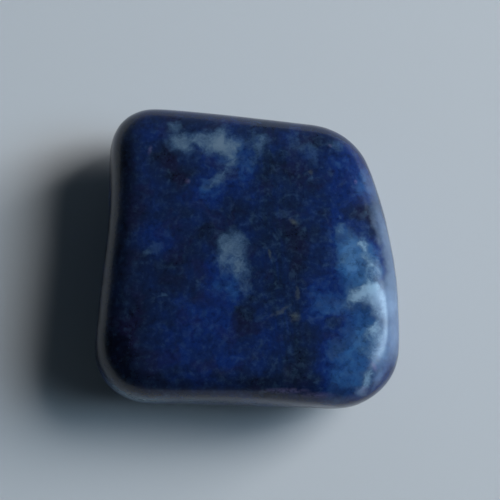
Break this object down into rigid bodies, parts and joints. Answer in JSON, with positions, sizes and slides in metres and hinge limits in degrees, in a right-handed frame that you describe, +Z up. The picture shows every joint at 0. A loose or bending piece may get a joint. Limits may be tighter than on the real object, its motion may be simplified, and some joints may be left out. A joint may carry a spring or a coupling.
{
  "type": "tumbled sodalite stone",
  "caption": "Tumbled and polished sodalite stone: a squarish rounded tablet of deep blue mottled mineral that lies on its flattest face.",
  "frame": {"origin": "on the surface the stone lies on, under the middle of its outline", "axes": "+Z up out of the crowned upper face, +X towards the bowed right wall, +Y towards the back wall"},
  "size_m": [0.0302, 0.03, 0.0131],
  "materials": {
    "sodalite": "tumbled polish, deep blue with pale clouds, a dark band, thin veins and flecks"
  },
  "bodies": {
    "root": {"stone": "sodalite"}
  },
  "joints": []
}
